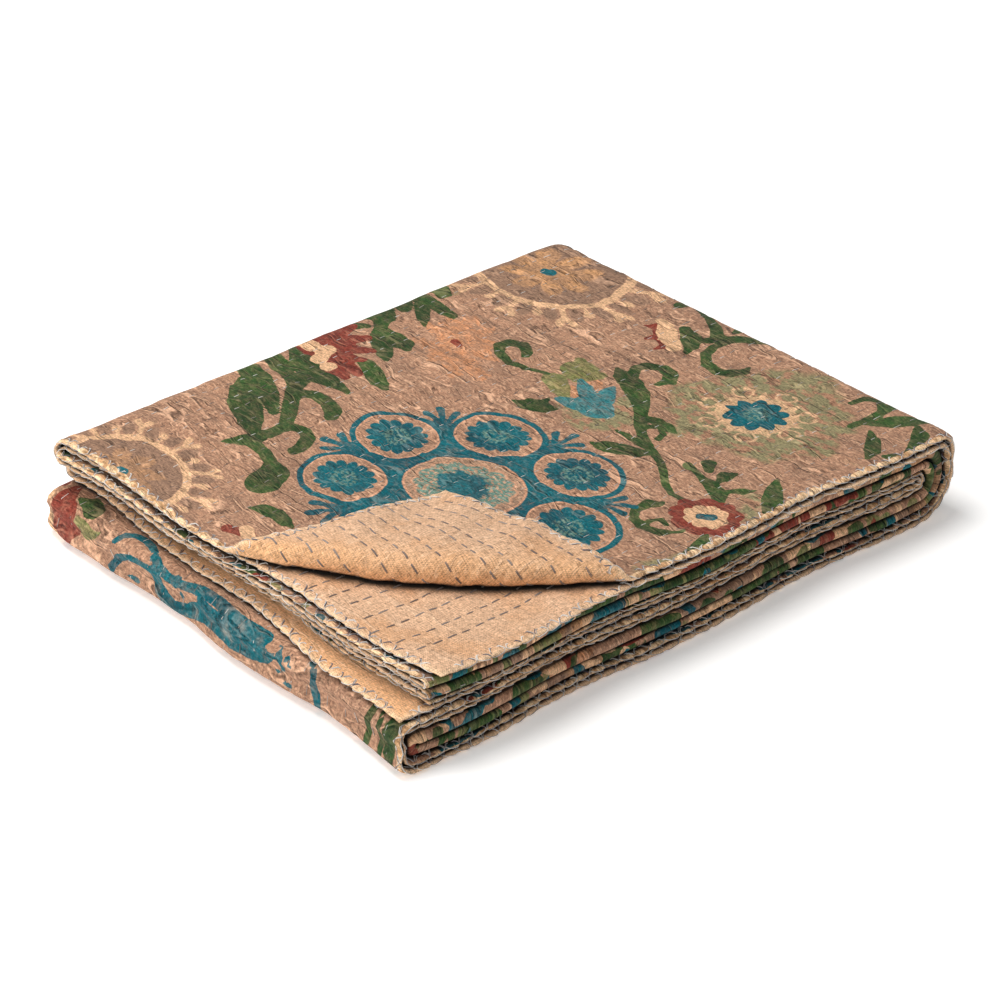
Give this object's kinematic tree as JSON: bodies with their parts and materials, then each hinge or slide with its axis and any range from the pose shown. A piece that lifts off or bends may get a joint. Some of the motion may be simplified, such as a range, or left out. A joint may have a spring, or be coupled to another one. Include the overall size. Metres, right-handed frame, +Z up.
{
  "type": "folded kantha quilt",
  "caption": "Light two-cloth throw quilt, folded into a flat stack with one top corner turned over.",
  "frame": {"origin": "bottom centre of the folded stack's bounding box, on the surface it rests on", "axes": "+X along the folded stack's long side, from the hems and the left fold to the round wrap; +Y from the open front edges to the folded back edges; +Z up"},
  "size_m": [0.4096, 0.3226, 0.0677],
  "materials": {
    "printed_cotton": "matt washed cotton, brown ground printed with floral medallions",
    "plain_cotton": "matt washed cotton, plain straw yellow, with grey running stitches"
  },
  "bodies": {
    "root": {"printed_face": "printed_cotton", "plain_back": "plain_cotton"}
  },
  "joints": []
}
